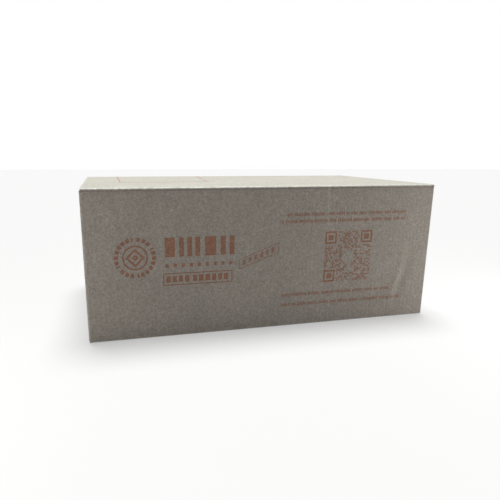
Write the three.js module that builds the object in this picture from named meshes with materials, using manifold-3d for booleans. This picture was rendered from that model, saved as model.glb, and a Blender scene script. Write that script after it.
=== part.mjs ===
// A carton of thin corrugated board, folded from one blank.
// The tray is the four walls, the flaps glued shut under them and the two dust flaps folded in on top.
// The lid is creased along the front wall's top edge, and its tuck flap goes down inside the back wall.
// Millimetres. X runs left to right, Y front to back and Z up, from the middle of the base.

import * as THREE from "three";
import { mergeVertices } from "three/addons/utils/BufferGeometryUtils.js";
import Module from "manifold-3d";

// Outside size of the shut carton
const width = 300;
const depth = 175;
const height = 120;

// Board
const board = 1.6;
const foldRadius = 1.5;
const foldSteps = 6;

// Clearances and trims
const lidGap = 0.3;
const edgeTrim = 0.6;
const flapRelief = 1;
const seamStep = 0.4;
const backEdgeDrop = 0.5;

// Tuck flap, measured from its crease on the lid
const tuckLength = 24;
const tuckSidePlay = 0.8;
const tuckCorner = 16;
const tuckPlay = 1.5;
const tuckSpareLean = THREE.MathUtils.degToRad(1);

// Dust flaps
const dustLength = 60;
const dustTaper = 10;
const dustCorner = 8;

// Glue tab, hinged on the back wall and stuck inside the left wall
const tabWidth = 30;
const tabTaper = 8;
const tabShort = 4;

// Flaps under the walls, all stuck to the outer bottom flap
const bottomSideLength = 60;
const bottomBackLength = 45;
const bottomMitre = 6;

// Curves that aren't folds
const cornerSteps = 8;
const cutSpare = 1;

// Places that several pieces share
const left = -width / 2;
const right = width / 2;
const front = -depth / 2;
const back = depth / 2;
const fold = Math.min(foldRadius, board);
const lidUnder = height - board;
const wallTop = lidUnder - lidGap;
const wallBottom = board;
const tuckFace = back - board - lidGap;
const tabFace = left + 2 * board;
const tuckLeft = tabFace + tuckSidePlay;

// The crease's own line keeps the outer liner's length as the lid turns from shut to upright.
const hingeInset = fold * (1 - Math.PI / 4);
const hingeY = front + hingeInset;

// A flap that leans in along the chord of its own swing clears the wall that it slides behind.
const tuckReach = tuckFace - hingeY;
const tuckLean = Math.asin((tuckLength + fold) / (2 * tuckReach)) + tuckSpareLean;

const alongX = new THREE.Vector3(1, 0, 0);
const alongY = new THREE.Vector3(0, 1, 0);
const alongZ = new THREE.Vector3(0, 0, 1);

const wasm = await Module();
wasm.setup();

function solidOf(geometry) {
  const bare = geometry.index ? geometry.toNonIndexed() : geometry.clone();
  bare.deleteAttribute("normal");
  bare.deleteAttribute("uv");
  const merged = mergeVertices(bare, 1e-4);
  const mesh = new wasm.Mesh({
    numProp: 3,
    vertProperties: merged.attributes.position.array,
    triVerts: new Uint32Array(merged.index.array),
  });
  return new wasm.Manifold(mesh);
}

function meshOf(name, solid, material) {
  const { vertProperties, triVerts } = solid.getMesh();
  const geometry = new THREE.BufferGeometry();
  geometry.setAttribute("position", new THREE.BufferAttribute(vertProperties, 3));
  geometry.setIndex(new THREE.BufferAttribute(triVerts, 1));
  geometry.computeVertexNormals();
  const mesh = new THREE.Mesh(geometry, material);
  mesh.name = name;
  return mesh;
}

// An outline swept in a straight line. acrossU and acrossV carry the outline's own two directions.
function sweep(outline, acrossU, acrossV, start, length, curveSegments = cornerSteps) {
  const settings = { depth: length, bevelEnabled: false, curveSegments };
  const geometry = new THREE.ExtrudeGeometry(outline, settings);
  const sweepWay = new THREE.Vector3().crossVectors(acrossU, acrossV);
  const place = new THREE.Matrix4().makeBasis(acrossU, acrossV, sweepWay);
  place.setPosition(start);
  return solidOf(geometry.applyMatrix4(place));
}

// A flat piece of board that lies level, from its outline in X and Y.
function levelBoard(outline, under) {
  return sweep(outline, alongX, alongY, new THREE.Vector3(0, 0, under), board);
}

function rectangle(x0, y0, x1, y1) {
  return roundedOutline([
    [x0, y0],
    [x1, y0],
    [x1, y1],
    [x0, y1],
  ]);
}

// Corners are [x, y] where they are sharp and [x, y, r] where a cutting rule rounds them.
function roundedOutline(corners) {
  const outline = new THREE.Shape();
  corners.forEach(([x, y, r = 0], i) => {
    const here = new THREE.Vector2(x, y);
    const before = new THREE.Vector2(...corners.at(i - 1)).sub(here).setLength(r);
    const after = new THREE.Vector2(...corners[(i + 1) % corners.length]).sub(here).setLength(r);
    const from = here.clone().add(before);
    const to = here.clone().add(after);
    if (i === 0) outline.moveTo(from.x, from.y);
    else outline.lineTo(from.x, from.y);
    if (r > 0) outline.quadraticCurveTo(x, y, to.x, to.y);
  });
  outline.closePath();
  return outline;
}

// What a fold's quarter round leaves outside it, as a bar centred on the sharp corner's line.
function foldCutter(middle, inward, inwardToo, length) {
  const outline = new THREE.Shape();
  outline.moveTo(-cutSpare, -cutSpare);
  outline.lineTo(fold, -cutSpare);
  outline.absarc(fold, fold, fold, -Math.PI / 2, -Math.PI, true);
  outline.lineTo(-cutSpare, fold);
  outline.closePath();
  const sweepWay = new THREE.Vector3().crossVectors(inward, inwardToo);
  const start = middle.clone().addScaledVector(sweepWay, -length / 2);
  return sweep(outline, inward, inwardToo, start, length, foldSteps);
}

// The plan of the four walls. The left wall's raw edge covers the glue tab's fold at the back corner.
function wallPlan() {
  const plan = new THREE.Shape();
  const seam = left + board;
  plan.moveTo(seam, back - seamStep);
  plan.lineTo(left, back - seamStep);
  plan.absarc(left + fold, front + fold, fold, Math.PI, 1.5 * Math.PI, false);
  plan.absarc(right - fold, front + fold, fold, 1.5 * Math.PI, 2 * Math.PI, false);
  plan.absarc(right - fold, back - fold, fold, 0, 0.5 * Math.PI, false);
  plan.absarc(seam + fold, back - fold, fold, 0.5 * Math.PI, Math.PI, false);
  plan.closePath();
  const inside = rectangle(left + board, front + board, right - board, back - board);
  plan.holes.push(inside);
  return plan;
}

// The walls, with the folds where the side walls turn in at both ends and the back wall turns in below.
function walls() {
  const start = new THREE.Vector3(0, 0, wallBottom);
  let ring = sweep(wallPlan(), alongX, alongY, start, wallTop - wallBottom, foldSteps);
  for (const side of [-1, 1]) {
    const inward = new THREE.Vector3(-side, 0, 0);
    const x = (side * width) / 2;
    const low = new THREE.Vector3(x, 0, wallBottom);
    const high = new THREE.Vector3(x, 0, wallTop);
    const down = alongZ.clone().negate();
    ring = ring.subtract(foldCutter(low, inward, alongZ, depth - 2 * board));
    ring = ring.subtract(foldCutter(high, inward, down, depth - 2 * board));
  }
  const backFold = new THREE.Vector3(0, back, wallBottom);
  const forward = alongY.clone().negate();
  return ring.subtract(foldCutter(backFold, forward, alongZ, width - 2 * board));
}

// The back wall's raw top edge, which stands up behind the lid's far crease.
function backEdge() {
  const outline = rectangle(left + edgeTrim, wallTop - board, right - edgeTrim, height - backEdgeDrop);
  return sweep(outline, alongX, alongZ, new THREE.Vector3(0, back, 0), board);
}

function glueTab() {
  const root = back - board;
  const tip = root - tabWidth;
  const low = wallBottom + board + tabShort;
  const high = wallTop - board - tabShort;
  const outline = roundedOutline([
    [root, low],
    [root, high],
    [tip, high - tabTaper],
    [tip, low + tabTaper],
  ]);
  return sweep(outline, alongY, alongZ, new THREE.Vector3(tabFace - board, 0, 0), board);
}

// side is -1 for the left wall's flap and 1 for the right wall's.
function dustFlap(side) {
  const root = side * (width / 2 - fold);
  const tip = side * (width / 2 - dustLength);
  const near = front + board + flapRelief;
  const far = tuckFace - board - tuckPlay;
  const corners = [
    [root, near],
    [tip, near + dustTaper, dustCorner],
    [tip, far - dustTaper, dustCorner],
    [root, far],
  ];
  const outline = roundedOutline(side < 0 ? corners : corners.reverse());
  return levelBoard(outline, wallTop - board);
}

// The outer flap runs the full depth, and the three inner ones lie on it without lapping each other.
function bottom() {
  const outer = rectangle(left + edgeTrim, front, right - edgeTrim, back - edgeTrim);
  const frontFold = new THREE.Vector3(0, front, 0);
  let flaps = levelBoard(outer, 0);
  flaps = flaps.subtract(foldCutter(frontFold, alongY, alongZ, width));
  const near = front + board + flapRelief;
  const far = back - board - flapRelief;
  for (const side of [-1, 1]) {
    const root = side * (width / 2 - fold);
    const tip = side * (width / 2 - bottomSideLength);
    flaps = flaps.add(levelBoard(rectangle(root, near, tip, far), wallBottom));
  }
  const halfBack = width / 2 - bottomSideLength - flapRelief;
  const backInner = roundedOutline([
    [-halfBack, back - fold],
    [-halfBack + bottomMitre, back - bottomBackLength],
    [halfBack - bottomMitre, back - bottomBackLength],
    [halfBack, back - fold],
  ]);
  return flaps.add(levelBoard(backInner, wallBottom));
}

function tray() {
  return walls()
    .add(backEdge())
    .add(glueTab())
    .add(dustFlap(-1))
    .add(dustFlap(1))
    .add(bottom());
}

// The lid's flat panel, seen from its left end: Y along, Z up.
function lidPanel() {
  const outline = new THREE.Shape();
  outline.moveTo(tuckFace - fold, lidUnder);
  outline.lineTo(tuckFace - fold, height);
  outline.absarc(front + fold, height - fold, fold, Math.PI / 2, Math.PI, false);
  outline.lineTo(front, lidUnder);
  outline.closePath();
  const start = new THREE.Vector3(left + edgeTrim, 0, 0);
  return sweep(outline, alongY, alongZ, start, width - 2 * edgeTrim, foldSteps);
}

// The tuck flap and its crease, seen from the same end, before its lower corners are rounded.
function tuckBlank() {
  const outward = new THREE.Vector2(Math.cos(tuckLean), -Math.sin(tuckLean));
  const downward = new THREE.Vector2(-Math.sin(tuckLean), -Math.cos(tuckLean));
  const creaseCentre = new THREE.Vector2(tuckFace - fold, height - fold);
  const root = creaseCentre.clone().addScaledVector(outward, fold);
  const tip = root.clone().addScaledVector(downward, tuckLength);
  const tipInside = tip.clone().addScaledVector(outward, -board);
  const rise = (lidUnder - tipInside.y) / Math.cos(tuckLean);
  const underCorner = tipInside.clone().addScaledVector(downward, -rise);
  const outline = new THREE.Shape();
  outline.moveTo(underCorner.x - board, height);
  outline.lineTo(underCorner.x - board, lidUnder);
  outline.lineTo(underCorner.x, lidUnder);
  outline.lineTo(tipInside.x, tipInside.y);
  outline.lineTo(tip.x, tip.y);
  outline.absarc(creaseCentre.x, creaseCentre.y, fold, -tuckLean, Math.PI / 2, false);
  outline.closePath();
  const start = new THREE.Vector3(tuckLeft, 0, 0);
  const blank = sweep(outline, alongY, alongZ, start, -2 * tuckLeft, foldSteps);
  return { blank, tipHeight: tip.y };
}

function tuckFlap() {
  const { blank, tipHeight } = tuckBlank();
  const tuckRight = -tuckLeft;
  const seenFromFront = roundedOutline([
    [tuckLeft - cutSpare, height + cutSpare],
    [tuckLeft, lidUnder],
    [tuckLeft, tipHeight, tuckCorner],
    [tuckRight, tipHeight, tuckCorner],
    [tuckRight, lidUnder],
    [tuckRight + cutSpare, height + cutSpare],
  ]);
  const start = new THREE.Vector3(0, back, 0);
  return blank.intersect(sweep(seenFromFront, alongX, alongZ, start, depth / 2));
}

function lid() {
  return lidPanel().add(tuckFlap());
}

const trayKraft = new THREE.MeshStandardMaterial({ color: 0x8d8071, roughness: 0.9, metalness: 0 });
const lidKraft = new THREE.MeshStandardMaterial({ color: 0x958978, roughness: 0.9, metalness: 0 });

const carton = new THREE.Group();
carton.add(meshOf("tray", tray(), trayKraft));
carton.add(meshOf("lid", lid(), lidKraft));

export default carton;
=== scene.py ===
"""Looks for a folded carton of thin kraft corrugated board: a glued tray and a creased lid.

Every panel is laid up as real board, with an outer liner, a fluted medium and an inner liner,
so that raw edges show their flutes. Folds are rounded, and the web of the lid's crease bends
as the lid swings. Metres, +Z up, the printed front facing -Y.
"""

import math
import random

import bpy
from mathutils import Matrix, Vector, noise


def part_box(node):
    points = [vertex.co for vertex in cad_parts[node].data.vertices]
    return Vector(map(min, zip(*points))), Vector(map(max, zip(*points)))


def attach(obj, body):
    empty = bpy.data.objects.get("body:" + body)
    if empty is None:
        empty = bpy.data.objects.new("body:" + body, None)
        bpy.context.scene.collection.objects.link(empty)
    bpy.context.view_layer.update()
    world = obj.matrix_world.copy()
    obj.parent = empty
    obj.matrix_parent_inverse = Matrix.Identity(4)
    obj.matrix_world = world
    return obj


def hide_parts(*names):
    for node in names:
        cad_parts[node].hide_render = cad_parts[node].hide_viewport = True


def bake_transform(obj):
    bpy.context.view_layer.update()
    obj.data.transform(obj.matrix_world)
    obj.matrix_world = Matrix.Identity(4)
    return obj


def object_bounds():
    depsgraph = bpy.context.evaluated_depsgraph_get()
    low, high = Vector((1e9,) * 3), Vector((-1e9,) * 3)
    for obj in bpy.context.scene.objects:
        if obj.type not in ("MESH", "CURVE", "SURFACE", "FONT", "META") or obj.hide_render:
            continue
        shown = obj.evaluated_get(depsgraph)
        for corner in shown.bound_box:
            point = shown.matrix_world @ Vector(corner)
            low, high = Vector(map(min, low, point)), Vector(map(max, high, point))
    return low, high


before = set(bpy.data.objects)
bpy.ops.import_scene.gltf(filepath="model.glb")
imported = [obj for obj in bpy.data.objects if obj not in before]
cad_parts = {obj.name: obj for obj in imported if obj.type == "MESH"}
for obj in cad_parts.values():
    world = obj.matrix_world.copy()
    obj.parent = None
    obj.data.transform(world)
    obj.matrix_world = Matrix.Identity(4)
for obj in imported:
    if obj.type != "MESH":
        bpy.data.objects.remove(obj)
cad_low, cad_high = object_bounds()

MM = 0.001
RIGHT_WAY, BACK_WAY, UP_WAY = Vector((1, 0, 0)), Vector((0, 1, 0)), Vector((0, 0, 1))

# The carton, from the frame
WIDTH, DEPTH = cad_high.x - cad_low.x, cad_high.y - cad_low.y
RIGHT, BACK, TOP = cad_high
LEFT, FRONT = cad_low.x, cad_low.y
LID_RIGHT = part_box("lid")[1].x

# Board
BOARD = 1.6 * MM
LINER = 0.25 * MM
MEDIUM = 0.18 * MM
GLUE_LINE = 0.02 * MM
FLUTE_COUNT = 85
PITCH = WIDTH / FLUTE_COUNT
FOLD = 1.5 * MM

# Clearances and trims
LID_GAP = 0.3 * MM
EDGE_TRIM = 0.6 * MM
SEAM_STEP = 0.4 * MM
FLAP_RELIEF = 1.0 * MM

# Heights and faces that several panels share
LID_UNDER = TOP - BOARD
WALL_TOP = LID_UNDER - LID_GAP
TUCK_FACE = BACK - BOARD - LID_GAP
BACK_EDGE_TOP = TOP - 0.5 * MM

# Flaps
DUST_LENGTH = 60 * MM
DUST_TAPER = 10 * MM
DUST_CORNER = 8 * MM
TUCK_LENGTH = 24 * MM
TUCK_CORNER = 16 * MM
TUCK_PLAY = 1.5 * MM
TUCK_SIDE_PLAY = 0.8 * MM
TAB_WIDTH = 30 * MM
TAB_TAPER = 8 * MM
TAB_SHORT = 4 * MM
BOTTOM_SIDE = 60 * MM
BOTTOM_BACK = 45 * MM
BOTTOM_MITRE = 6 * MM

# The tuck flap's lean, which follows the chord of its swing about the crease
HINGE_INSET = FOLD * (1 - math.pi / 4)
TUCK_REACH = TUCK_FACE - FRONT - HINGE_INSET
TUCK_LEAN = math.asin((TUCK_LENGTH + FOLD) / (2 * TUCK_REACH)) + math.radians(1)

# The lid's crease, by distance along the board from its middle: below it the wall, past it the lid
CREASE_ARC = FOLD * math.pi / 2
CREASE_START = -CREASE_ARC / 2
CREASE_END = CREASE_ARC / 2
CREASE_WEB = 2.4 * MM
CREASE_PRESSED = 0.34
CREASE_SHOULDER = 4.5 * MM

# How finely sheets are divided
FINE_STEP = PITCH / 6
MID_STEP = PITCH / 4
PANEL_STEP = 8 * MM
FLUTE_STEP = 24 * MM
FOLD_STEPS = 7

# How far panels swell, dent and dip
WALL_SWELL = 0.45 * MM
END_SWELL = 0.5 * MM
BACK_SWELL = 0.3 * MM
LID_DIP = 0.18 * MM
WAVER = 0.22 * MM
WASHBOARD = 0.03 * MM
FOLD_SCALLOP = 0.16 * MM
CREASE_ROLL = 0.20 * MM
CREASE_GROOVE = 0.14 * MM
FLAP_DROOP = 1.2 * MM

# A knock near the front's lower right corner, and a scuff down from its top edge
KNOCK_X = 0.396 * WIDTH
KNOCK_Z = 0.29 * TOP
KNOCK_REACH = 20 * MM
KNOCK_SWAY = 5 * MM
KNOCK_BEND = 12 * MM
KNOCK_RIDGE = 0.6 * MM
RIDGE_REACH = 3.4 * MM
KNOCK_HOLLOW = 0.8 * MM
HOLLOW_REACH = 5 * MM
HOLLOW_OFF = 6 * MM
SCUFF_X = 0.16 * WIDTH
SCUFF_RISE = 0.10 * MM
SCUFF_REACH = 0.9 * MM

# Films of ink, above and below the board's surface
INK_PROUD = 0.05 * MM
INK_SUNK = 0.04 * MM


# ---------------------------------------------------------------- materials


def add_node(tree, kind, inputs=None, **settings):
    made = tree.nodes.new(kind)
    for key, value in settings.items():
        setattr(made, key, value)
    for key, value in (inputs or {}).items():
        made.inputs[key].default_value = value
    return made


def noise_of(tree, where, size, detail=2.0, rough=0.5, stretch=(1, 1, 1)):
    """Noise whose grains are about size across, in metres."""
    mapping = add_node(tree, "ShaderNodeMapping", {"Scale": Vector(stretch) / size})
    tree.links.new(where, mapping.inputs["Vector"])
    settings = {"Scale": 1.0, "Detail": detail, "Roughness": rough}
    grains = add_node(tree, "ShaderNodeTexNoise", settings)
    tree.links.new(mapping.outputs["Vector"], grains.inputs["Vector"])
    return grains.outputs["Fac"]


def flecks_of(tree, where, spacing, radius, shift):
    """1 inside sparse small flecks, 0 outside them."""
    settings = {"Location": (shift, shift, shift), "Scale": Vector((1, 1, 1)) / spacing}
    mapping = add_node(tree, "ShaderNodeMapping", settings)
    tree.links.new(where, mapping.inputs["Vector"])
    cells = add_node(tree, "ShaderNodeTexVoronoi", {"Scale": 1.0})
    tree.links.new(mapping.outputs["Vector"], cells.inputs["Vector"])
    return ramp_of(tree, cells.outputs["Distance"], radius * 0.5, radius, 1, 0)


def ramp_of(tree, value, low, high, to_low, to_high):
    """value carried from low..high to to_low..to_high, and held there."""
    settings = {"From Min": low, "From Max": high, "To Min": to_low, "To Max": to_high}
    made = add_node(tree, "ShaderNodeMapRange", settings)
    tree.links.new(value, made.inputs["Value"])
    return made.outputs["Result"]


def math_of(tree, what, a, b=0.0):
    made = add_node(tree, "ShaderNodeMath", operation=what)
    for socket, value in zip(made.inputs, (a, b)):
        if isinstance(value, (int, float)):
            socket.default_value = value
        else:
            tree.links.new(value, socket)
    return made.outputs["Value"]


def mix_of(tree, factor, a, b, blend="MIX"):
    made = add_node(tree, "ShaderNodeMix", data_type="RGBA", blend_type=blend)
    colours = [s for s in made.inputs if s.type == "RGBA"]
    for socket, value in ((made.inputs[0], factor), (colours[0], a), (colours[1], b)):
        if isinstance(value, bpy.types.NodeSocket):
            tree.links.new(value, socket)
        elif isinstance(value, (int, float)):
            socket.default_value = value
        else:
            socket.default_value = (*value, 1)
    return next(s for s in made.outputs if s.type == "RGBA")


def shade(colour, by):
    return tuple(c * by for c in colour)


# Linear colours
KRAFT = (0.301, 0.270, 0.233)
KRAFT_INSIDE = (0.330, 0.280, 0.215)
MEDIUM_BROWN = (0.20, 0.165, 0.125)
# Dark fibre flecks; also the painted shade in the crease's score.
DARK_FIBRE_AND_SHADE = (0.10, 0.08, 0.06)
# Pale fibre flecks and rubbed wear; also painted highlights on the crease's roll and along the
# scuff.
PALE_FIBRE_AND_HIGHLIGHT = (0.62, 0.60, 0.54)
INK = (0.87, 0.475, 0.345)

# The paper's unevenness: how far across, and how much each kind changes its colour
CLOUD_SIZE = 28 * MM
PULP_SIZE = 3.6 * MM
GRAIN_SIZE = 1.3 * MM
FIBRE_SIZE = 0.5 * MM
CLOUD_CHANGE = 0.035
PULP_CHANGE = 0.06
GRAIN_CHANGE = 0.42
FIBRE_CHANGE = 0.12


def edge_wear(tree, apart):
    """1 along the carton's twelve edges, falling to 0 about 2 mm away from them."""
    near = []
    sizes = ((0, RIGHT, 0), (1, BACK, 0), (2, TOP / 2, TOP / 2))
    for axis, half, middle in sizes:
        off = math_of(tree, "ABSOLUTE", math_of(tree, "SUBTRACT", apart.outputs[axis], middle))
        near.append(ramp_of(tree, off, half - 2.2 * MM, half - 0.2 * MM, 0, 1))
    pairs = [math_of(tree, "MULTIPLY", near[i], near[(i + 1) % 3]) for i in range(3)]
    return math_of(tree, "MAXIMUM", pairs[0], math_of(tree, "MAXIMUM", pairs[1], pairs[2]))


def crease_line(tree, apart, pulp, tinted):
    """The lid's crease: a pale roll, partly rubbed fibre and partly a painted highlight, over a
    dark line of painted shade where the board was scored.
    """
    forward, height = apart.outputs[1], apart.outputs[2]
    roll = math_of(
        tree,
        "MULTIPLY",
        ramp_of(tree, forward, FRONT + 1.0 * MM, FRONT + 1.9 * MM, 1, 0),
        ramp_of(tree, height, TOP - 1.5 * MM, TOP - 0.7 * MM, 0, 1),
    )
    # Painted shade: a dark line in the score just under the roll.
    score = math_of(
        tree,
        "MULTIPLY",
        ramp_of(tree, height, TOP - 2.9 * MM, TOP - 2.3 * MM, 0, 1),
        ramp_of(tree, height, TOP - 1.9 * MM, TOP - 1.3 * MM, 1, 0),
    )
    near_front = ramp_of(tree, forward, FRONT + 1 * MM, FRONT + 2 * MM, 1, 0)
    score = math_of(tree, "MULTIPLY", score, near_front)
    # The roll's paleness: partly rubbed fibre, partly a painted highlight, patchy and fading
    # towards the right.
    patches = ramp_of(tree, pulp, 0.35, 0.65, 0.15, 0.55)
    fading_rightward = ramp_of(tree, apart.outputs[0], 0, 0.4 * WIDTH, 1, 0.45)
    rubbed_and_highlit = math_of(tree, "MULTIPLY", roll, math_of(tree, "MULTIPLY", patches, fading_rightward))
    tinted = mix_of(tree, rubbed_and_highlit, tinted, PALE_FIBRE_AND_HIGHLIGHT)
    return mix_of(tree, math_of(tree, "MULTIPLY", score, 0.50), tinted, DARK_FIBRE_AND_SHADE)


def scuff_and_highlight_line(tree, apart, grain, tinted):
    """A faint pale streak down from the top of the printed front: partly a scuff, partly a painted
    highlight along its small ridge.
    """
    aside = math_of(tree, "ABSOLUTE", math_of(tree, "SUBTRACT", apart.outputs[0], SCUFF_X))
    on_line = ramp_of(tree, aside, 0.3 * MM, 1.2 * MM, 1, 0)
    up_high = ramp_of(tree, apart.outputs[2], 0.62 * TOP, 0.85 * TOP, 0, 1)
    in_front = ramp_of(tree, apart.outputs[1], FRONT + 0.3 * MM, FRONT + 1.2 * MM, 1, 0)
    strength = ramp_of(tree, grain, 0.35, 0.6, 0.08, 0.26)
    for part in (on_line, up_high, in_front):
        strength = math_of(tree, "MULTIPLY", strength, part)
    return mix_of(tree, strength, tinted, PALE_FIBRE_AND_HIGHLIGHT)


def paper(name, colour, across, washboard=0.0, ink_cover=0.0, wear_and_painted_light=True):
    """Kraft paper: cloudy pulp, fibre grain, flecks, and flutes that show as a soft washboard.

    across is the axis that the flutes repeat along, 0 for X and 1 for Y, or None for unlined paper.
    """
    made = bpy.data.materials.new(name)
    made.use_nodes = True
    tree = made.node_tree
    shader = tree.nodes["Principled BSDF"]
    place = add_node(tree, "ShaderNodeTexCoord").outputs["Object"]
    apart = add_node(tree, "ShaderNodeSeparateXYZ")
    tree.links.new(place, apart.inputs["Vector"])

    cloud = noise_of(tree, place, CLOUD_SIZE, 3)
    pulp = noise_of(tree, place, PULP_SIZE, 3, 0.6)
    grain = noise_of(tree, place, GRAIN_SIZE, 6, 0.72)
    fibre = noise_of(tree, place, FIBRE_SIZE, 2, 0.6, stretch=(0.35, 0.35, 1.4))

    tone = ramp_of(tree, cloud, 0.3, 0.7, 0, 1)
    tinted = mix_of(tree, tone, shade(colour, 1 + CLOUD_CHANGE), shade(colour, 1 - CLOUD_CHANGE))
    for grains, change in ((pulp, PULP_CHANGE), (grain, GRAIN_CHANGE), (fibre, FIBRE_CHANGE)):
        by = ramp_of(tree, grains, 0.25, 0.75, 1 - change, 1 + change)
        tinted = mix_of(tree, 1.0, tinted, by, "MULTIPLY")
    dark = flecks_of(tree, place, 5 * MM, 0.085, 0.0)
    light = flecks_of(tree, place, 14 * MM, 0.045, 5.0)
    tinted = mix_of(tree, math_of(tree, "MULTIPLY", dark, 0.4), tinted, DARK_FIBRE_AND_SHADE)
    tinted = mix_of(tree, math_of(tree, "MULTIPLY", light, 0.7), tinted, PALE_FIBRE_AND_HIGHLIGHT)

    if ink_cover:
        patchy = noise_of(tree, place, 1.2 * MM, 3, 0.7)
        cover = ramp_of(tree, patchy, 0.3, 0.55, ink_cover * 0.7, ink_cover)
        tinted = mix_of(tree, cover, tinted, mix_of(tree, 1.0, tinted, INK, "MULTIPLY"))

    # Pale rubbed edges, plus painted light: a painted highlight on the crease's roll, painted shade
    # in its score, and a painted highlight along the scuff.
    if wear_and_painted_light:
        patches = ramp_of(tree, pulp, 0.4, 0.6, 0.1, 0.5)
        rubbed_and_highlit = math_of(tree, "MULTIPLY", edge_wear(tree, apart), patches)
        tinted = mix_of(tree, rubbed_and_highlit, tinted, shade(PALE_FIBRE_AND_HIGHLIGHT, 0.75))
        tinted = crease_line(tree, apart, pulp, tinted)
        tinted = scuff_and_highlight_line(tree, apart, grain, tinted)

    height = math_of(tree, "MULTIPLY", grain, 0.11 * MM)
    height = math_of(tree, "ADD", height, math_of(tree, "MULTIPLY", fibre, 0.03 * MM))
    height = math_of(tree, "ADD", height, math_of(tree, "MULTIPLY", pulp, 0.06 * MM))
    if across is not None:
        wander = math_of(tree, "MULTIPLY", cloud, 1.1)
        turn = math_of(tree, "MULTIPLY", apart.outputs[across], 2 * math.pi / PITCH)
        wave = math_of(tree, "COSINE", math_of(tree, "ADD", turn, wander))
        height = math_of(tree, "ADD", height, math_of(tree, "MULTIPLY", wave, washboard / 2))
        # Painted light and shade: faint colour bands that follow the flute ripple.
        ripple_painted_shade = ramp_of(tree, wave, -1, 1, 0.988, 1.012)
        tinted = mix_of(tree, 1.0, tinted, ripple_painted_shade, "MULTIPLY")
    bump = add_node(tree, "ShaderNodeBump", {"Distance": 1.0, "Strength": 1.0})
    tree.links.new(height, bump.inputs["Height"])
    tree.links.new(bump.outputs["Normal"], shader.inputs["Normal"])
    tree.links.new(tinted, shader.inputs["Base Color"])
    rough = ramp_of(tree, grain, 0.2, 0.8, 0.82, 0.96)
    tree.links.new(rough, shader.inputs["Roughness"])
    shader.inputs["Specular IOR Level"].default_value = 0.3
    return made


outside_x = paper("kraft_outside_front_back_and_lid", KRAFT, 0)
outside_y = paper("kraft_outside_ends", KRAFT, 1)
inside_x = paper("kraft_inside_front_back_and_lid", KRAFT_INSIDE, 0, 0.08 * MM, wear_and_painted_light=False)
inside_y = paper("kraft_inside_ends", KRAFT_INSIDE, 1, 0.08 * MM, wear_and_painted_light=False)
medium = paper("fluting_medium", MEDIUM_BROWN, None, wear_and_painted_light=False)
ink_strong = paper("print_ink_solid", KRAFT, 0, ink_cover=1.0)
ink_fine = paper("print_ink_fine", KRAFT, 0, ink_cover=0.8)

FRONT_BOARD = {"outer": outside_x, "medium": medium, "inner": inside_x}
END_BOARD = {"outer": outside_y, "medium": medium, "inner": inside_y}


# ---------------------------------------------------------------- mesh helpers


def deselect():
    if bpy.context.object and bpy.context.object.mode != "OBJECT":
        bpy.ops.object.mode_set(mode="OBJECT")
    bpy.ops.object.select_all(action="DESELECT")


def take(piece):
    deselect()
    piece.select_set(True)
    bpy.context.view_layer.objects.active = piece


def divided(start, end, step):
    count = max(1, round((end - start) / step))
    return [start + (end - start) * i / count for i in range(count + 1)]


def ruled(edges, step):
    """Lines at every edge, and between them no further apart than step."""
    lines = [edges[0]]
    for start, end in zip(edges, edges[1:]):
        count = max(1, math.ceil((end - start) / step - 1e-6))
        lines += [start + (end - start) * (i + 1) / count for i in range(count)]
    return lines


def sheet_of(name, columns, rows):
    """A flat sheet facing +Z, ruled at columns in X and at rows in Y."""
    deselect()
    last_column, last_row = len(columns) - 1, len(rows) - 1
    bpy.ops.mesh.primitive_grid_add(x_subdivisions=last_column, y_subdivisions=last_row, size=1)
    made = bpy.context.object
    made.name = name
    made.data.name = name
    for vertex in made.data.vertices:
        column = round((vertex.co.x + 0.5) * last_column)
        row = round((vertex.co.y + 0.5) * last_row)
        vertex.co = (columns[column], rows[row], 0)
    return made


def thicken(piece, thickness, offset):
    take(piece)
    wall = piece.modifiers.new("thickness", "SOLIDIFY")
    wall.thickness = thickness
    wall.offset = offset
    bpy.ops.object.modifier_apply(modifier=wall.name)


def join(name, pieces):
    deselect()
    for piece in pieces:
        piece.select_set(True)
    bpy.context.view_layer.objects.active = pieces[0]
    if len(pieces) > 1:
        bpy.ops.object.join()
    made = bpy.context.object
    made.name = name
    made.data.name = name
    return made


def smooth(piece):
    """Smooth over the sheets and crisp at their cut edges."""
    take(piece)
    bpy.ops.object.shade_smooth_by_angle(angle=math.radians(40))


def move_points(piece, rule):
    for vertex in piece.data.vertices:
        vertex.co = rule(vertex.co)


def trim(sheet, point, outward):
    """Cuts away what lies past a line of a flat sheet."""
    take(sheet)
    bpy.ops.object.mode_set(mode="EDIT")
    bpy.ops.mesh.select_all(action="SELECT")
    bpy.ops.mesh.bisect(plane_co=point, plane_no=outward, clear_outer=True)
    bpy.ops.object.mode_set(mode="OBJECT")


def trim_round(sheet, centre, radius, start, end, cuts):
    """Cuts a corner round, as a run of flats that touch one circle."""
    for i in range(cuts):
        angle = start + (end - start) * (i + 0.5) / cuts
        outward = Vector((math.cos(angle), math.sin(angle), 0))
        trim(sheet, Vector(centre) + outward * radius, outward)


def keep_faces(sheet, wanted):
    """Deletes the faces that aren't wanted."""
    take(sheet)
    bpy.ops.object.mode_set(mode="EDIT")
    bpy.ops.mesh.select_mode(type="FACE")
    bpy.ops.mesh.select_all(action="DESELECT")
    bpy.ops.object.mode_set(mode="OBJECT")
    for face in sheet.data.polygons:
        face.select = not wanted(face)
    bpy.ops.object.mode_set(mode="EDIT")
    bpy.ops.mesh.delete(type="FACE")
    bpy.ops.mesh.select_mode(type="VERT")
    bpy.ops.object.mode_set(mode="OBJECT")


# ---------------------------------------------------------------- how the board lies


def bump_at(distance, reach):
    return math.exp(-((distance / reach) ** 2))


def ease(share):
    share = min(1.0, max(0.0, share))
    return share * share * (3 - 2 * share)


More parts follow.
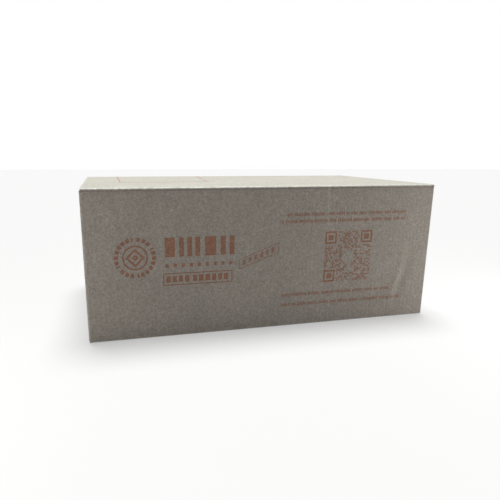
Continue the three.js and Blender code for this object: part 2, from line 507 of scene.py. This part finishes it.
def bowed(x, y, width, low, high):
    """1 in the middle of a panel, 0 at its edges."""
    middle, half = (low + high) / 2, (high - low) / 2
    return max(0.0, 1 - (2 * x / width) ** 2) * max(0.0, 1 - ((y - middle) / half) ** 2)


def waver(x, y, seed):
    """Slow unevenness of a panel, between about -1 and 1."""
    return noise.noise(Vector((x / 0.055, y / 0.055, seed)))


def flute_wave(x):
    """1 where the medium meets the outer liner, -1 where it meets the inner one."""
    return math.cos(2 * math.pi * x / PITCH)


def pressed(along_crease):
    """How far the board's thickness is crushed near the lid's crease."""
    share = (abs(along_crease) - CREASE_END) / (CREASE_SHOULDER - CREASE_END)
    return CREASE_PRESSED + (1 - CREASE_PRESSED) * ease(share)


def crease_relief(x, d):
    """Outward shape of the outer liner at the lid's crease: a beaded roll over a shallow score."""
    between = 0.5 - 0.5 * flute_wave(x)
    roll = CREASE_ROLL * bump_at(d + 0.7 * MM, 0.9 * MM)
    score = CREASE_GROOVE * bump_at(d + 2.6 * MM, 0.7 * MM)
    scallop = FOLD_SCALLOP * between * bump_at(d + 0.4 * MM, 1.3 * MM)
    return roll - score - scallop


def on_crease_from_height(z):
    return z - (TOP - FOLD) + CREASE_START


def on_crease_from_lid(y):
    return y - (FRONT + FOLD) + CREASE_END


def knock(x, z):
    """A ridge beside a hollow, in a slack S, near the front's lower right corner."""
    above = z - KNOCK_Z
    side = x - KNOCK_X - KNOCK_SWAY * math.tanh(above / KNOCK_BEND)
    ridge = KNOCK_RIDGE * bump_at(side, RIDGE_REACH)
    hollow = KNOCK_HOLLOW * bump_at(side - HOLLOW_OFF, HOLLOW_REACH)
    return (ridge - hollow) * bump_at(above, KNOCK_REACH)


def front_relief(x, z):
    """Outward swell of the front wall at x and height z."""
    middle = bowed(x, z, WIDTH, 0, TOP)
    out = WALL_SWELL * middle + WAVER * waver(x, z, 1) * min(1, 4 * middle)
    out += SCUFF_RISE * bump_at(x - SCUFF_X, SCUFF_REACH) * ease((z - 0.6 * TOP) / (0.3 * TOP))
    return out + knock(x, z) + crease_relief(x, on_crease_from_height(z))


def lid_relief(x, y):
    """Outward shape of the lid's top face."""
    dip = bowed(x, y, WIDTH, FRONT, BACK)
    out = -LID_DIP * dip + 0.3 * WAVER * waver(x, y, 2) * min(1, 3 * dip)
    return out + crease_relief(x, on_crease_from_lid(y))


def swelling(height, width, low, high, seed):
    def out(x, y):
        middle = bowed(x, y, width, low, high)
        return height * middle + 0.8 * WAVER * waver(x, y, seed) * min(1, 4 * middle)

    return out


def level(x, y):
    return 0.0


# ---------------------------------------------------------------- board

board_layers = {"tray": {"outer": [], "medium": [], "inner": []}}
board_layers["lid"] = {"outer": [], "medium": [], "inner": []}


def board_panel(
    body, root, along, outward, width, rows, papers,
    relief=level, press=None, cut=None, step=MID_STEP,
):
    """One flat panel of corrugated board whose flutes run along `along`.

    root is the middle of its root edge on the outer face, and rows are distances from it.
    relief and press take the panel's own X (across) and Y (along). cut trims the outline of
    each flat sheet.
    """
    across = along.cross(outward)
    phase = root.dot(across)
    turn = Matrix((across, along, outward)).transposed()
    room = BOARD - 2 * (LINER + GLUE_LINE) - MEDIUM
    start, end = rows[0], rows[-1]
    kinds = {
        "outer": (step, rows, 0.0, LINER, -1),
        "medium": (FINE_STEP, ruled([start, end], FLUTE_STEP), -BOARD / 2, MEDIUM, 0),
        "inner": (PANEL_STEP, ruled([start, end], PANEL_STEP), LINER - BOARD, LINER, -1),
    }
    if press:
        kinds["medium"] = (FINE_STEP, rows, -BOARD / 2, MEDIUM, 0)
        kinds["inner"] = (PANEL_STEP, rows, LINER - BOARD, LINER, -1)
    for kind, (column_step, lines, level_z, thickness, offset) in kinds.items():
        sheet = sheet_of(kind, divided(-width / 2, width / 2, column_step), lines)
        if cut:
            cut(sheet)
        swing = room / 2 if kind == "medium" else 0.0
        for vertex in sheet.data.vertices:
            vertex.co.z = level_z + swing * flute_wave(vertex.co.x + phase)
        thicken(sheet, thickness, offset)
        board = WASHBOARD if kind == "outer" else 0.0
        for vertex in sheet.data.vertices:
            x, y, z = vertex.co
            z = z * (press(y) if press else 1.0) + relief(x, y)
            z += board * flute_wave(x + phase)
            vertex.co = root + turn @ Vector((x, y, z))
        sheet.data.materials.append(papers[kind])
        board_layers[body][kind].append(sheet)


def fold_strip(body, centre, from_way, to_way, length, surface, crossed=False):
    """The board round a fold. Where flutes cross the fold, the outer liner dips between them."""
    axis = to_way.cross(from_way).normalized()
    angle = from_way.angle(to_way)
    beside = axis.cross(from_way).normalized()
    if beside.dot(to_way) < 0:
        beside.negate()
    if from_way.cross(beside).dot(axis) > 0:
        axis = -axis
    step = FINE_STEP if crossed else PANEL_STEP
    phase = centre.dot(axis)
    rounds = [ease(i / FOLD_STEPS) for i in range(FOLD_STEPS + 1)]
    shells = (("outer", 0.0, LINER, surface), ("medium", -LINER, FOLD - LINER - 0.1 * MM, medium))
    for kind, top, thickness, paint in shells:
        columns = divided(-length / 2, length / 2, step if kind == "outer" else PANEL_STEP)
        strip = sheet_of("fold", columns, rounds)
        thicken(strip, thickness, -1)
        for vertex in strip.data.vertices:
            x, share, z = vertex.co
            turn = share * angle
            way = from_way * math.cos(turn) + beside * math.sin(turn)
            dip = 0.0
            if crossed and kind == "outer":
                across = 0.5 - 0.5 * flute_wave(x + phase)
                dip = FOLD_SCALLOP * across * math.sin(math.pi * share) ** 2
                dip -= WASHBOARD * flute_wave(x + phase)
            vertex.co = centre + axis * x + way * (FOLD + top + z - dip)
        strip.data.materials.append(paint)
        board_layers[body][kind].append(strip)


def front_wall():
    low, high = FOLD, TOP - FOLD - (CREASE_WEB - CREASE_END)
    knock_foot, knock_head = KNOCK_Z - KNOCK_REACH, KNOCK_Z + KNOCK_REACH
    crease = high - low - 4 * MM
    rows = [0]
    rows += ruled([0, knock_foot], PANEL_STEP)[1:]
    rows += ruled([knock_foot, knock_head], PANEL_STEP / 2)[1:]
    rows += ruled([knock_head, crease], PANEL_STEP)[1:]
    rows += ruled([crease, high - low], 0.4 * MM)[1:]
    root = Vector((0, FRONT, low))

    def relief(x, y):
        return front_relief(x, y + low)

    def press(y):
        return pressed(on_crease_from_height(y + low))

    width = WIDTH - 2 * FOLD
    board_panel(
        "tray", root, UP_WAY, -BACK_WAY, width, rows, FRONT_BOARD, relief, press, step=FINE_STEP
    )


def back_wall():
    left, right = LEFT + BOARD + FOLD, RIGHT - FOLD
    root = Vector(((left + right) / 2, BACK, BOARD + FOLD))
    length = BACK_EDGE_TOP - root.z
    relief = swelling(BACK_SWELL, right - left, 0, length, 3)
    rows = ruled([0, length], 2 * PANEL_STEP)
    board_panel("tray", root, UP_WAY, BACK_WAY, right - left, rows, FRONT_BOARD, relief)


def end_wall(side):
    """side is -1 for the left wall, whose raw edge covers the seam, and 1 for the right wall."""
    near = FRONT + FOLD
    far = BACK - (FOLD if side > 0 else SEAM_STEP)
    root = Vector((side * RIGHT, (near + far) / 2, BOARD + FOLD))
    length = WALL_TOP - FOLD - root.z
    relief = swelling(END_SWELL, far - near, 0, length, 4 + side)
    rows = ruled([0, length], 2 * PANEL_STEP)
    board_panel("tray", root, UP_WAY, RIGHT_WAY * side, far - near, rows, END_BOARD, relief)


def corner_posts():
    """The ends of the end walls beside the flaps' slots, up to the lid and down to the base."""
    inner_near = FRONT + BOARD + FLAP_RELIEF
    inner_far = TUCK_FACE - BOARD - TUCK_PLAY
    base_far = BACK - BOARD - FLAP_RELIEF
    for side in (-1, 1):
        far = BACK - (FOLD if side > 0 else SEAM_STEP)
        near = FRONT + FOLD
        spots = (
            (near, inner_near, WALL_TOP - FOLD, WALL_TOP),
            (inner_far, far, WALL_TOP - FOLD, WALL_TOP),
            (near, inner_near, BOARD, BOARD + FOLD),
            (base_far, far, BOARD, BOARD + FOLD),
        )
        for start, end, low, high in spots:
            root = Vector((side * RIGHT, (start + end) / 2, low))
            board_panel(
                "tray", root, UP_WAY, RIGHT_WAY * side, end - start, [0, high - low], END_BOARD
            )


def glue_tab():
    low = BOARD * 2 + TAB_SHORT
    high = WALL_TOP - BOARD - TAB_SHORT
    far = BACK - BOARD - FOLD
    near = far - TAB_WIDTH
    root = Vector((LEFT + BOARD, (near + far) / 2, low))
    half = (far - near) / 2
    length = high - low
    slope = math.atan2(TAB_TAPER, TAB_WIDTH)

    def cut(sheet):
        # The tab's own X points forward here, towards its tip.
        for end, sign in ((length, 1), (0, -1)):
            trim(sheet, (-half, end, 0), (math.sin(slope), sign * math.cos(slope), 0))

    rows = ruled([0, length], PANEL_STEP)
    board_panel("tray", root, UP_WAY, -RIGHT_WAY, far - near, rows, END_BOARD, cut=cut)


def dust_flap(side):
    near = FRONT + BOARD + FLAP_RELIEF
    far = TUCK_FACE - BOARD - TUCK_PLAY
    length = DUST_LENGTH - FOLD
    width = far - near
    slope = math.atan2(DUST_TAPER, length)
    root = Vector((side * (RIGHT - FOLD), (near + far) / 2, WALL_TOP))

    def cut(sheet):
        inset = DUST_CORNER / math.cos(slope)
        edge = width / 2 - (length - DUST_CORNER) * math.tan(slope)
        for sign in (-1, 1):
            way = Vector((sign * math.cos(slope), math.sin(slope), 0))
            trim(sheet, (sign * width / 2, 0, 0), way)
            centre = (sign * (edge - inset), length - DUST_CORNER, 0)
            start = slope if sign > 0 else math.pi - slope
            trim_round(sheet, centre, DUST_CORNER, start, math.pi / 2, 6)

    def droop(x, y):
        lift = 0.3 * MM * waver(x, y, 7 + side) * y / length
        return lift - FLAP_DROOP * (y / length) ** 2

    rows = ruled([0, length], PANEL_STEP)
    board_panel("tray", root, RIGHT_WAY * -side, UP_WAY, width, rows, END_BOARD, droop, cut=cut)


def bottom_outer():
    root = Vector((0, FRONT + FOLD, 0))
    rows = ruled([0, BACK - EDGE_TRIM - root.y], 2 * PANEL_STEP)
    width = 2 * (RIGHT - EDGE_TRIM)
    board_panel("tray", root, BACK_WAY, -UP_WAY, width, rows, FRONT_BOARD, lambda x, y: -WASHBOARD)


def bottom_side(side):
    width = DEPTH - 2 * (BOARD + FLAP_RELIEF)
    root = Vector((side * (RIGHT - FOLD), 0, BOARD))
    rows = ruled([0, BOTTOM_SIDE - FOLD], 2 * PANEL_STEP)
    board_panel("tray", root, RIGHT_WAY * -side, -UP_WAY, width, rows, END_BOARD)


def bottom_back():
    half = RIGHT - BOTTOM_SIDE - FLAP_RELIEF
    length = BOTTOM_BACK - FOLD
    slope = math.atan2(BOTTOM_MITRE, length)
    root = Vector((0, BACK - FOLD, BOARD))

    def cut(sheet):
        for sign in (-1, 1):
            trim(sheet, (sign * half, 0, 0), (sign * math.cos(slope), math.sin(slope), 0))

    rows = ruled([0, length], 2 * PANEL_STEP)
    board_panel("tray", root, -BACK_WAY, -UP_WAY, 2 * half, rows, FRONT_BOARD, cut=cut)


def tray_folds():
    """Every fold of the tray but the lid's crease."""
    low, high = BOARD, WALL_TOP
    middle = (low + high) / 2
    corners = (
        (RIGHT - FOLD, FRONT + FOLD, RIGHT_WAY, -BACK_WAY),
        (LEFT + FOLD, FRONT + FOLD, -BACK_WAY, -RIGHT_WAY),
        (RIGHT - FOLD, BACK - FOLD, BACK_WAY, RIGHT_WAY),
        (LEFT + BOARD + FOLD, BACK - FOLD, -RIGHT_WAY, BACK_WAY),
    )
    for x, y, from_way, to_way in corners:
        centre = Vector((x, y, middle))
        fold_strip("tray", centre, from_way, to_way, high - low, outside_y)
    near, far = FRONT + BOARD + FLAP_RELIEF, TUCK_FACE - BOARD - TUCK_PLAY
    for side in (-1, 1):
        way = RIGHT_WAY * side
        over = Vector((side * (RIGHT - FOLD), (near + far) / 2, WALL_TOP - FOLD))
        under = Vector((side * (RIGHT - FOLD), 0, BOARD + FOLD))
        span = DEPTH - 2 * (BOARD + FLAP_RELIEF)
        fold_strip("tray", over, way, UP_WAY, far - near, outside_y, crossed=True)
        fold_strip("tray", under, way, -UP_WAY, span, outside_y, crossed=True)
    front = Vector((0, FRONT + FOLD, FOLD))
    width = 2 * (RIGHT - EDGE_TRIM)
    fold_strip("tray", front, -BACK_WAY, -UP_WAY, width, outside_x, crossed=True)
    back = Vector((0, BACK - FOLD, BOARD + FOLD))
    width = 2 * (RIGHT - BOTTOM_SIDE - FLAP_RELIEF)
    fold_strip("tray", back, BACK_WAY, -UP_WAY, width, outside_x, crossed=True)


def lid_panel():
    start = FOLD + (CREASE_WEB - CREASE_END)
    far = TUCK_FACE - FOLD - FRONT
    rows = ruled([start, start + 4 * MM], 0.4 * MM)[:-1] + ruled([start + 4 * MM, far], PANEL_STEP)
    root = Vector((0, FRONT, TOP))

    def relief(x, y):
        return lid_relief(x, FRONT + y)

    def press(y):
        return pressed(on_crease_from_lid(FRONT + y))

    width = 2 * LID_RIGHT
    board_panel(
        "lid", root, BACK_WAY, UP_WAY, width, rows, FRONT_BOARD, relief, press, step=FINE_STEP
    )


def tuck_flap():
    outward = Vector((0, math.cos(TUCK_LEAN), -math.sin(TUCK_LEAN)))
    down = Vector((0, -math.sin(TUCK_LEAN), -math.cos(TUCK_LEAN)))
    centre = Vector((0, TUCK_FACE - FOLD, TOP - FOLD))
    half = RIGHT - 2 * BOARD - TUCK_SIDE_PLAY

    def cut(sheet):
        for sign in (-1, 1):
            corner = (sign * (half - TUCK_CORNER), TUCK_LENGTH - TUCK_CORNER, 0)
            start = 0 if sign > 0 else math.pi
            trim_round(sheet, corner, TUCK_CORNER, start, math.pi / 2, 9)

    rows = ruled([0, TUCK_LENGTH], PANEL_STEP)
    root = centre + outward * FOLD
    board_panel("lid", root, down, outward, 2 * half, rows, FRONT_BOARD, cut=cut)
    fold_strip("lid", centre, UP_WAY, outward, 2 * half, outside_x, crossed=True)


def crease_web():
    """The crushed board of the lid's crease, from the front wall's top to the lid's front."""
    half = RIGHT - FOLD
    turns = ruled([-CREASE_WEB, CREASE_START, CREASE_END, CREASE_WEB], 0.3 * MM)
    web = sheet_of("crease_web", divided(-half, half, FINE_STEP), turns)
    for paint in (outside_x, inside_x, medium):
        web.data.materials.append(paint)
    take(web)
    wall = web.modifiers.new("thickness", "SOLIDIFY")
    wall.thickness = BOARD
    wall.offset = -1
    wall.material_offset = 1
    wall.material_offset_rim = 2
    bpy.ops.object.modifier_apply(modifier=wall.name)
    centre = Vector((0, FRONT + FOLD, TOP - FOLD))

    def lay(co):
        x, d, z = co
        x *= 1 + (LID_RIGHT / half - 1) * ease((d - CREASE_START) / (0.5 * MM) + 1)
        angle = min(CREASE_ARC, max(0, d - CREASE_START)) / FOLD
        out = Vector((0, -math.cos(angle), math.sin(angle)))
        spot = centre + out * FOLD + RIGHT_WAY * x
        spot += UP_WAY * min(0, d - CREASE_START) + BACK_WAY * max(0, d - CREASE_END)
        lift = crease_relief(x, d) + WASHBOARD * flute_wave(x)
        if d < CREASE_START:
            lift += front_relief(x, spot.z) - crease_relief(x, d)
        if z < -BOARD / 2:
            lift *= 0.5
        return spot + out * (z * pressed(d) + lift)

    move_points(web, lay)
    return web


# ---------------------------------------------------------------- build the board

front_wall()
back_wall()
for end in (-1, 1):
    end_wall(end)
    dust_flap(end)
    bottom_side(end)
corner_posts()
glue_tab()
bottom_outer()
bottom_back()
tray_folds()
lid_panel()
tuck_flap()

LAYER_NAMES = {"outer": "outer_liner", "medium": "fluting", "inner": "inner_liner"}
for body, layers in board_layers.items():
    for kind, sheets in layers.items():
        piece = join(f"{body}_{LAYER_NAMES[kind]}", sheets)
        smooth(piece)
        if kind == "outer":
            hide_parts(body)
        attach(piece, body)

web = crease_web()
smooth(web)
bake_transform(web)

# ---------------------------------------------------------------- print


def ink(name, sheets, lay, paint, body="tray"):
    """Makes flat sheets into one film of ink. lay gives each point's place and its way out."""
    film = join(name, sheets)
    take(film)
    bpy.ops.object.mode_set(mode="EDIT")
    bpy.ops.mesh.select_all(action="SELECT")
    bpy.ops.mesh.remove_doubles(threshold=0.005 * MM)
    bpy.ops.object.mode_set(mode="OBJECT")
    thicken(film, INK_PROUD + INK_SUNK, -1)
    for vertex in film.data.vertices:
        spot, out = lay(vertex.co.x, vertex.co.y)
        vertex.co = spot + out * (vertex.co.z + INK_PROUD)
    film.data.materials.clear()
    film.data.materials.append(paint)
    smooth(film)
    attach(film, body)


def on_front(x, z):
    out = front_relief(x, z) + WASHBOARD * flute_wave(x)
    return Vector((x, FRONT - out, z)), -BACK_WAY


def on_lid(x, y):
    out = lid_relief(x, y) + WASHBOARD * flute_wave(x)
    return Vector((x, y, TOP + out)), UP_WAY


def bars(name, edges, low, high, step=1.2 * MM):
    """A row of bars between every other pair of edges."""
    sheet = sheet_of(name, ruled(edges, step), ruled([low, high], 2 * MM))
    spans = list(zip(edges[::2], edges[1::2]))
    keep_faces(sheet, lambda face: any(a < face.center.x < b for a, b in spans))
    return sheet


def hoop(name, centre, inner, outer, count, kept=lambda i: True):
    """A ring of count cells round a centre, of which kept ones stay."""
    sheet = sheet_of(name, [float(i) for i in range(count + 1)], [inner, outer])
    keep_faces(sheet, lambda face: kept(int(face.center.x)))

    def roll(co):
        turn = 2 * math.pi * co.x / count
        return Vector((centre[0] - co.y * math.sin(turn), centre[1] + co.y * math.cos(turn), 0))

    move_points(sheet, roll)
    return sheet


def frame_lines(name, left, right, low, high, line):
    edges_x = [left, left + line, right - line, right]
    edges_y = [low, low + line, high - line, high]
    sheet = sheet_of(name, ruled(edges_x, 1.5 * MM), ruled(edges_y, 1.5 * MM))

    def on_border(face):
        x, y = face.center.x, face.center.y
        return not (edges_x[1] < x < edges_x[2] and edges_y[1] < y < edges_y[2])

    keep_faces(sheet, on_border)
    return sheet


def word_row(start, end, low, high, seed, letters=(2, 9)):
    """A greeked line of small type: letter-sized blocks in word-sized groups."""
    chance = random.Random(seed)
    edges, x = [], start
    letter, gap, space = 1.25 * MM, 0.4 * MM, 1.3 * MM
    while x < end - letter:
        for _ in range(chance.randint(*letters)):
            if x > end - letter:
                break
            wide = letter * chance.choice((0.6, 0.9, 1.0, 1.1))
            edges += [x, x + wide]
            x += wide + gap
        x += space
    return bars("line", edges, low, high)


# Where the print sits on the front, in X and in height
EMBLEM = (LEFT + 38 * MM, 66.6 * MM)
EMBLEM_RADIUS = 16 * MM
WORD_LEFT = LEFT + 61 * MM
WORD_RIGHT = LEFT + 117 * MM
WORD_LOW = 66 * MM
WORD_HEIGHT = 15.5 * MM
BADGE_START = (LEFT + 121 * MM, 57 * MM)
BADGE_END = (LEFT + 155.5 * MM, 70 * MM)
BADGE_SLANT = 0.35
CODE_LEFT = LEFT + 196.8 * MM
CODE_LOW = 37.2 * MM
CODE_SIZE = 44.4 * MM
CODE_CELLS = 29
CELL_MARGIN = 0.06 * MM
TYPE_HEIGHT = 2.6 * MM


def emblem():
    def is_tick(i):
        return i % 3 < 2 and i % 11

    rings = [
        hoop("ticks", EMBLEM, EMBLEM_RADIUS - 3.2 * MM, EMBLEM_RADIUS, 66, is_tick),
        hoop("rim", EMBLEM, 8.6 * MM, 9.8 * MM, 60),
        hoop("outer_diamond", EMBLEM, 5.2 * MM, 7.4 * MM, 4),
        hoop("inner_diamond", EMBLEM, 0.6 * MM, 2.6 * MM, 4),
    ]
    ink("front_emblem", rings, on_front, ink_strong)


def word_blocks():
    """Heavy blocks over a row of small ones, and a framed row under both."""
    widths = (6, 2.6, 3, 2, 3, 2, 3, 3, 7, 3, 3.2, 2.4, 3.2)
    scale = (WORD_RIGHT - WORD_LEFT) / sum(widths)
    edges = [WORD_LEFT]
    for wide in widths:
        edges.append(edges[-1] + wide * scale)
    heavy = bars("heavy", edges, WORD_LOW, WORD_LOW + WORD_HEIGHT)
    count = 9
    pitch = (WORD_RIGHT - WORD_LEFT + 2 * MM) / count
    spaced = []
    for i in range(count):
        spaced += [WORD_LEFT + i * pitch, WORD_LEFT + i * pitch + 2.6 * MM]
    light = bars("spaced", spaced, 57.6 * MM, 60.6 * MM)
    border = frame_lines("border", LEFT + 59 * MM, LEFT + 115.5 * MM, 43 * MM, 53 * MM, 0.8 * MM)
    block_edges = []
    x = LEFT + 61.5 * MM
    for wide in (3.6, 3.2, 3.2, 3.4, 0, 3.2, 3.6, 4, 3.4, 3.2, 3.6):
        if wide:
            block_edges += [x, x + wide * MM]
        x += (wide + 1.6) * MM
    inside = bars("blocks", block_edges, 45.4 * MM, 50.6 * MM)
    ink("front_name_blocks", [heavy, light, border, inside], on_front, ink_strong)


def slanted_badge():
    """An outlined band that climbs to the right."""
    length = math.dist(BADGE_START, BADGE_END)
    rise = math.atan2(BADGE_END[1] - BADGE_START[1], BADGE_END[0] - BADGE_START[0])
    rim = frame_lines("rim", 0, length, -4 * MM, 4 * MM, 0.7 * MM)
    edges = []
    for i in range(6):
        edges += [(3.5 + 5.2 * i) * MM, (6.3 + 5.2 * i) * MM]
    strokes = bars("strokes", edges, -2.2 * MM, 2.2 * MM)

    def climb(co):
        leant = Vector((co.x + BADGE_SLANT * co.y, co.y, 0))
        return Vector((*BADGE_START, 0)) + Matrix.Rotation(rise, 3, "Z") @ leant

    for sheet in (rim, strokes):
        move_points(sheet, climb)
    ink("front_slanted_badge", [rim, strokes], on_front, ink_fine)


def code_square():
    """A square of scattered cells with three corner targets, which encodes nothing."""
    chance = random.Random(29)
    cell = CODE_SIZE / CODE_CELLS
    lines_x = divided(CODE_LEFT, CODE_LEFT + CODE_SIZE, cell)
    lines_y = divided(CODE_LOW, CODE_LOW + CODE_SIZE, cell)
    scattered = [[chance.random() < 0.48 for _ in range(CODE_CELLS)] for _ in range(CODE_CELLS)]
    last = CODE_CELLS - 1
    targets = ((3, last - 3), (last - 3, last - 3), (3, 3))

    def target_ring(i, j):
        """Steps from the nearest target's middle."""
        return min(max(abs(i - a), abs(j - b)) for a, b in targets)

    def cell_of(face):
        return int((face.center.x - CODE_LEFT) / cell), int((face.center.y - CODE_LOW) / cell)

    def in_target(face):
        return target_ring(*cell_of(face)) in (0, 1, 3)

    def in_field(face):
        i, j = cell_of(face)
        in_middle = max(abs(i - last / 2), abs(j - last / 2)) < 3.6
        return target_ring(i, j) > 4 and not in_middle and scattered[i][j]

    strong = sheet_of("targets", lines_x, lines_y)
    keep_faces(strong, in_target)
    ink("front_code_targets", [strong], on_front, ink_strong)
    faint = sheet_of("cells", lines_x, lines_y)
    keep_faces(faint, in_field)
    take(faint)
    bpy.ops.object.mode_set(mode="EDIT")
    bpy.ops.mesh.select_all(action="SELECT")
    bpy.ops.mesh.inset(thickness=CELL_MARGIN, use_individual=True)
    bpy.ops.object.mode_set(mode="OBJECT")
    keep_faces(faint, lambda face: face.area > cell**2 / 2)
    ink("front_code_cells", [faint], on_front, ink_fine)


def small_print():
    """Four lines of small type, each with its start, end, height on the front and seed."""
    rows = (
        (LEFT + 161 * MM, LEFT + 274 * MM, 95.3 * MM, 1),
        (LEFT + 157 * MM, LEFT + 276 * MM, 89.6 * MM, 2),
        (LEFT + 159 * MM, LEFT + 263 * MM, 26.6 * MM, 3),
        (LEFT + 159 * MM, LEFT + 274 * MM, 17.9 * MM, 4),
    )
    lines = [word_row(a, b, low, low + TYPE_HEIGHT, seed) for a, b, low, seed in rows]
    ink("front_small_print", lines, on_front, ink_fine)


def lid_lines():
    """Two lines from the lid's tuck crease to a third across them. The right one splays out."""
    near, far = -18 * MM, TUCK_FACE - FOLD - 0.5 * MM
    left_line, right_line, splay, wide = -119 * MM, -41 * MM, 9.5 * MM, 0.9 * MM
    left = sheet_of("left", [left_line, left_line + wide], ruled([near, far], 2 * MM))
    right = sheet_of("right", [right_line, right_line + wide], ruled([near, far], 2 * MM))

    def lean_out(co):
        return Vector((co.x + splay * (co.y - near) / (far - near), co.y, 0))

    move_points(right, lean_out)
    columns = ruled([left_line + 1.1 * MM, right_line - 0.2 * MM], 1.2 * MM)
    across = sheet_of("across", columns, [near, near + wide])
    ink("lid_lines", [left, right, across], on_lid, ink_strong, body="lid")


emblem()
word_blocks()
slanted_badge()
code_square()
small_print()
lid_lines()

# ---------------------------------------------------------------- camera, light, floor

CAMERA_PLACE = Vector((-0.1302, FRONT - 0.3531, TOP + 0.0246))
CAMERA_HEADING = math.radians(-14.77)
CAMERA_DOWN = math.radians(13.87)
CAMERA_ROLL = math.radians(0.38)
CAMERA_LENS = 33.24
CAMERA_SHIFT = (0.0414, 0.0362)

FLOOR_SIZE = 8
FLOOR_COLOUR = (0.230, 0.216, 0.212)

# The floor's glow and the sky's strength, first as light and then as seen
FLOOR_GLOW = (0.21, 0.42)
SKY_STRENGTH = (0.05, 1.0)


def camera():
    data = bpy.data.cameras.new("camera")
    data.lens = CAMERA_LENS
    data.sensor_width = 36
    data.shift_x, data.shift_y = CAMERA_SHIFT
    made = bpy.data.objects.new("camera", data)
    turn = Matrix.Rotation(CAMERA_HEADING, 4, "Z")
    turn = turn @ Matrix.Rotation(math.pi / 2 - CAMERA_DOWN, 4, "X")
    turn = turn @ Matrix.Rotation(CAMERA_ROLL, 4, "Z")
    made.matrix_world = Matrix.Translation(CAMERA_PLACE) @ turn
    bpy.context.scene.collection.objects.link(made)
    bpy.context.scene.camera = made


def soft_sun(name, from_way, spread, strength, colour):
    data = bpy.data.lights.new(name, "SUN")
    data.energy = strength
    data.angle = math.radians(spread)
    data.color = colour
    made = bpy.data.objects.new(name, data)
    made.rotation_euler = Vector(from_way).to_track_quat("Z", "Y").to_euler()
    bpy.context.scene.collection.objects.link(made)


def softbox(name, place, aim, size, power):
    data = bpy.data.lights.new(name, "AREA")
    data.shape = "RECTANGLE"
    data.size, data.size_y = size
    data.energy = power
    made = bpy.data.objects.new(name, data)
    made.location = place
    made.rotation_euler = (Vector(place) - Vector(aim)).to_track_quat("Z", "Y").to_euler()
    made.visible_camera = False
    bpy.context.scene.collection.objects.link(made)


def floor():
    deselect()
    bpy.ops.mesh.primitive_plane_add(size=FLOOR_SIZE, location=(0, 0, -0.1 * MM))
    made = bpy.context.object
    made.name = "floor"
    surface = bpy.data.materials.new("floor_paint")
    surface.use_nodes = True
    shader = surface.node_tree.nodes["Principled BSDF"]
    shader.inputs["Base Color"].default_value = (*FLOOR_COLOUR, 1)
    shader.inputs["Emission Color"].default_value = (1, 1, 1, 1)
    seen = add_node(surface.node_tree, "ShaderNodeLightPath").outputs["Is Camera Ray"]
    glow = ramp_of(surface.node_tree, seen, 0, 1, *FLOOR_GLOW)
    surface.node_tree.links.new(glow, shader.inputs["Emission Strength"])
    shader.inputs["Roughness"].default_value = 0.95
    shader.inputs["Specular IOR Level"].default_value = 0.1
    made.data.materials.append(surface)


def studio():
    """Even pale surroundings, seen white, whose light is softer than they look."""
    world = bpy.data.worlds.new("studio")
    bpy.context.scene.world = world
    world.use_nodes = True
    tree = world.node_tree
    back = tree.nodes["Background"]
    back.inputs["Color"].default_value = (1, 1, 1, 1)
    seen = add_node(tree, "ShaderNodeLightPath").outputs["Is Camera Ray"]
    strength = ramp_of(tree, seen, 0, 1, *SKY_STRENGTH)
    tree.links.new(strength, back.inputs["Strength"])
    bpy.context.scene.view_settings.view_transform = "Standard"


camera()
studio()
floor()
soft_sun("overhead", (0.04, 0.20, 1.0), spread=30, strength=7.7, colour=(0.927, 0.988, 1.0))
softbox("right_fill", (0.36, -0.20, 0.05), (RIGHT, FRONT, 0.03), (0.20, 0.09), power=0.60)
softbox("left_fill", (-0.36, -0.20, 0.05), (LEFT, FRONT, 0.03), (0.20, 0.09), power=0.29)
